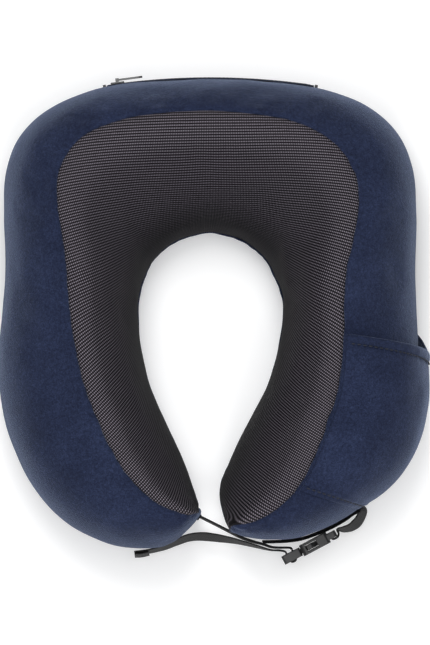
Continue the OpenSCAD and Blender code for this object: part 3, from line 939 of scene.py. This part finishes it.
LEFT_ROUTE = [
    [-10.2, -126.4], [1, -132], [10, -136.6], [17.5, -140.3], [25, -142.9], [31.5, -144.6],
    [38, -146.6], buckle_plan(-12.1, 5.7), buckle_plan(-11.2, 4.3)]
TAIL_FOLD = [[-43, -150.5], [-47.5, -151.6], [-52.4, -151.9]]
TAIL_WRAP = [
    buckle_plan(-11.1, 3.9), buckle_plan(-11, 2.4), buckle_plan(-11, 0), buckle_plan(-11, -2),
    buckle_plan(-11.9, -3.3), buckle_plan(-13.3, -3.7), buckle_plan(-14.7, -3.3),
    buckle_plan(-15.6, -2), buckle_plan(-15.6, 0), buckle_plan(-15.6, 2.4)]
TAIL_ROUTE = [
    buckle_plan(-15.6, 4.6), [42, -148.6], [36, -148.3], [26, -145.7], [14, -142.7],
    [2, -140.6], [-8.5, -139.5], [-17, -140.3], [-25, -143.2], [-33, -146.6], [-42, -149],
    [-52.5, -150.4]]
RIGHT_WRAP = [
    buckle_plan(15.2, 1.8), buckle_plan(15.2, -1.6), buckle_plan(16, -2.8),
    buckle_plan(17.6, -3.1), buckle_plan(19.6, -2.7), buckle_plan(20.8, -1.2)]
RIGHT_ROUTE = [
    buckle_plan(21.6, 1.2), [84, -134.8], [88.5, -133.6], [92.5, -130.6], [95.2, -126.6],
    [96.4, -122.8], [94.6, -121.4], [91, -123.4], [84.5, -128.4], [76, -133.4], [67, -137.4],
    [57, -140.9], [48, -142.4], [38, -142.9], [31, -143]]


def webbing(name, route, material, body="root", twist=None, thick=STRAP_THICK - 0.15):
    """Webbing on edge along a plan route, with rounded selvedges and a slight sag in its
    faces. twist gives the lean of its width at each share of its length, in degrees."""
    route = np.asarray(route, float)
    count = 12 * (len(route) - 1)
    line = curve_at(route, np.linspace(0, len(route) - 1, count))
    step = np.linalg.norm(np.diff(line, axis=0), axis=-1)
    run = np.concatenate([[0], np.cumsum(step)])
    aim = np.gradient(line, axis=0)
    aim /= np.linalg.norm(aim, axis=-1, keepdims=True)
    face = np.stack([-aim[:, 1], aim[:, 0], 0 * aim[:, 0]], axis=-1)
    up = np.zeros_like(face)
    up[:, 2] = 1
    if twist is not None:
        lean = np.radians(np.interp(run / run[-1], *zip(*twist)))[:, None]
        face, up = (face * np.cos(lean) - up * np.sin(lean), face * np.sin(lean) + up * np.cos(lean))
    half_w, half_t = STRAP_WIDTH / 2 - 0.1, thick / 2
    across = np.linspace(-1, 1, 23)
    flat = np.sign(across) * (1 - (1 - np.abs(across)) ** 1.6)
    edge = np.sqrt(np.clip(1 - np.abs(flat) ** 14, 0, 1)) * (1 + 0.08 * np.cos(flat * 30))
    ring_w = np.concatenate([flat * half_w, flat[::-1][1:-1] * half_w])
    ring_t = np.concatenate([edge * half_t, -(edge[::-1][1:-1]) * half_t])
    middle = np.concatenate([line, np.full((len(line), 1), STRAP_MID)], axis=-1)
    points = (middle[:, None, :] + up[:, None, :] * ring_w[None, :, None]
              + face[:, None, :] * ring_t[None, :, None])
    rows, columns = points.shape[:2]
    faces = grid_faces(rows, columns, wrap=True)
    faces += [tuple(range(columns)), tuple((rows - 1) * columns + j for j in range(columns))]
    u = np.repeat(run[:, None] / 1.1, columns, axis=1)
    v = np.repeat(((ring_w + half_w) / (2 * half_w))[None, :], rows, axis=0)
    obj = make_mesh(name, points.reshape(-1, 3), faces, body, np.stack([u, v], -1).reshape(-1, 2))
    mend_normals(obj)
    use(obj, material)
    return obj


def make_straps(cloth):
    left = webbing("left_webbing", LEFT_ROUTE, cloth, body=None, twist=[(0, 5), (0.5, 6), (1, 2)])
    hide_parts("strap_left")
    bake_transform(left)
    tail = webbing("tail_webbing", TAIL_WRAP + TAIL_ROUTE, cloth, body="buckle_male",
                   twist=[
                       (0, 0), (0.2, 0), (0.3, -6), (0.42, -12), (0.52, -20), (0.6, -23),
                       (0.74, -18), (0.88, -11), (1, -10)])
    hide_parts("strap_tail")
    fold = webbing("tail_fold", TAIL_FOLD, cloth, body="buckle_male", twist=[(0, -10), (1, -10)])
    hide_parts("strap_tail")
    right = webbing("right_webbing", RIGHT_WRAP + RIGHT_ROUTE, cloth, twist=[
        (0, 0), (0.1, 0), (0.16, 16), (0.24, 26), (0.33, 22), (0.42, 8), (0.6, 5), (1, 4)])
    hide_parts("strap_right")


def make_anchors(cloth):
    """The sewn ends of the two straps, as short tabs of webbing."""
    ends = {
        "strap_anchor_left": ([-9, -125.4], [-10.2, -127.1], [-11.4, -128.8]),
        "strap_anchor_right": ([30.6, -142.5], [34, -142.55], [37.4, -142.5])}
    for node, route in ends.items():
        tab = webbing(node + "_webbing", route, cloth, thick=0.78)
        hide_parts(node)


def zip_point(angle, out, z):
    """A point over the zip's curved face: angle from its middle, distance off the cover."""
    r = ZIP_RADIUS + out
    a = np.radians(90 - angle)
    x, y, z = np.broadcast_arrays(ZIP_CENTRE[0] + r * np.cos(a), ZIP_CENTRE[1] + r * np.sin(a), z)
    return np.stack([x, y, z], axis=-1)


def make_zip_tapes(cloth, thread):
    """Two woven tapes with a slight ripple, each sewn down along its outer edge."""
    angle = np.linspace(-ZIP_HALF_ANGLE, ZIP_HALF_ANGLE, 260)[:, None]
    across = np.linspace(0, 1, 26)[None, :]
    for side, node in ((1, "zipper_tape_upper"), (-1, "zipper_tape_lower")):
        z = ZIP_Z + side * mix(2.0, ZIP_TAPE_HIGH, across)
        flat = zip_point(angle, 1.85, z)
        ripple = 0.12 * waves(flat, 9, SEED + 70) * smooth(across / 0.3)
        cord = 0.3 * np.exp(-((across - 0.06) / 0.07) ** 2)
        sewn = 0.22 * np.exp(-((across - 0.84) / 0.04) ** 2)
        top = zip_point(angle, 1.85 + ripple + cord - sewn, z)
        normals = unit(flat - zip_point(angle, 0, z))
        tape = cloth_solid(node + "_cloth", top, 0.5, normals=normals * np.ones_like(top))
        use(tape, cloth)
        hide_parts(node)
        route = zip_point(angle[:, 0], 1.95, ZIP_Z + side * mix(2.0, ZIP_TAPE_HIGH, 0.84))
        stitch_run(node + "_stitches", route, 2.2, 0.9, thread, 0.22)


def make_label(cloth):
    """The blank care label, a ribbon with a slight curl, sewn to the base inside."""
    box = np.array(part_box("care_label")) / MM
    x = np.linspace(box[0][0], box[1][0], 40)[:, None]
    y = np.linspace(box[0][1], box[1][1], 26)[None, :]
    x, y = np.broadcast_arrays(x, y)
    flat = np.stack([x, y, np.full(x.shape, box[1][2])], axis=-1)
    flat[..., 2] += 0.25 + 0.2 * waves(flat, 12, SEED + 80)
    up = np.zeros_like(flat)
    up[..., 2] = 1
    label = cloth_solid("care_label_ribbon", flat, 0.15, normals=up)
    use(label, cloth)
    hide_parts("care_label")


def rounded_copy(node, name, material, voxel=0.16, rounds=6):
    """A moulded copy of a CAD node with softened edges, which replaces it."""
    source = frame["nodes"][node]
    body = frame_body(node)
    mesh = source.data.copy()
    obj = bpy.data.objects.new(name, mesh)
    bpy.context.scene.collection.objects.link(obj)
    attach(obj, body)
    remesh = obj.modifiers.new("remesh", "REMESH")
    remesh.mode = "VOXEL"
    remesh.voxel_size = voxel * MM
    relax = obj.modifiers.new("relax", "SMOOTH")
    relax.factor = 0.5
    relax.iterations = rounds
    deps = bpy.context.evaluated_depsgraph_get()
    done = bpy.data.meshes.new_from_object(obj.evaluated_get(deps))
    obj.modifiers.clear()
    obj.data = done
    done.polygons.foreach_set("use_smooth", [True] * len(done.polygons))
    use(obj, material)
    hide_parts(node)
    return obj


def frame_body(node):
    for body, members in frame["record"]["behaviour"]["bodies"].items():
        if node in members:
            return body
    return "root"


def dress_cad_nodes(looks):
    """Gives each CAD node that stays its own material."""
    for node, material in looks.items():
        data = frame["nodes"][node].data
        data.materials.clear()
        data.materials.append(material)


make_camera()
make_studio()
velour_cloth = velour("velour")
pocket_velour = velour("pocket_velour", 0.6)
mesh_cloth = spacer_mesh()
web_cloth = webbing_cloth()
buckle_plastic = moulded_plastic("buckle_plastic", (0.011, 0.011, 0.0115), 0.42)
zip_plastic = moulded_plastic("zip_plastic", (0.01, 0.01, 0.011), 0.5)
zip_metal = moulded_plastic("zip_metal", (0.03, 0.03, 0.032), 0.35)
thread = thread_material()
tape = zip_tape_cloth()
foam = foam_material()

make_foam(foam)
make_velour_cover(velour_cloth)
make_mesh_cover(mesh_cloth)
make_base(velour_cloth)
make_tip_gussets(velour_cloth)
make_pocket(pocket_velour, thread)
make_straps(web_cloth)
for node in ("buckle_female", "buckle_male_frame", "buckle_prong_upper", "buckle_prong_lower"):
    rounded_copy(node, node + "_moulded", buckle_plastic)
make_anchors(web_cloth)
make_zip_tapes(tape, thread)
make_label(label_material())
dress_cad_nodes({
    "zipper_teeth_upper": zip_plastic, "zipper_teeth_lower": zip_plastic,
    "zipper_stops": zip_plastic, "zipper_slider": zip_metal, "zipper_pull": zip_metal,
})
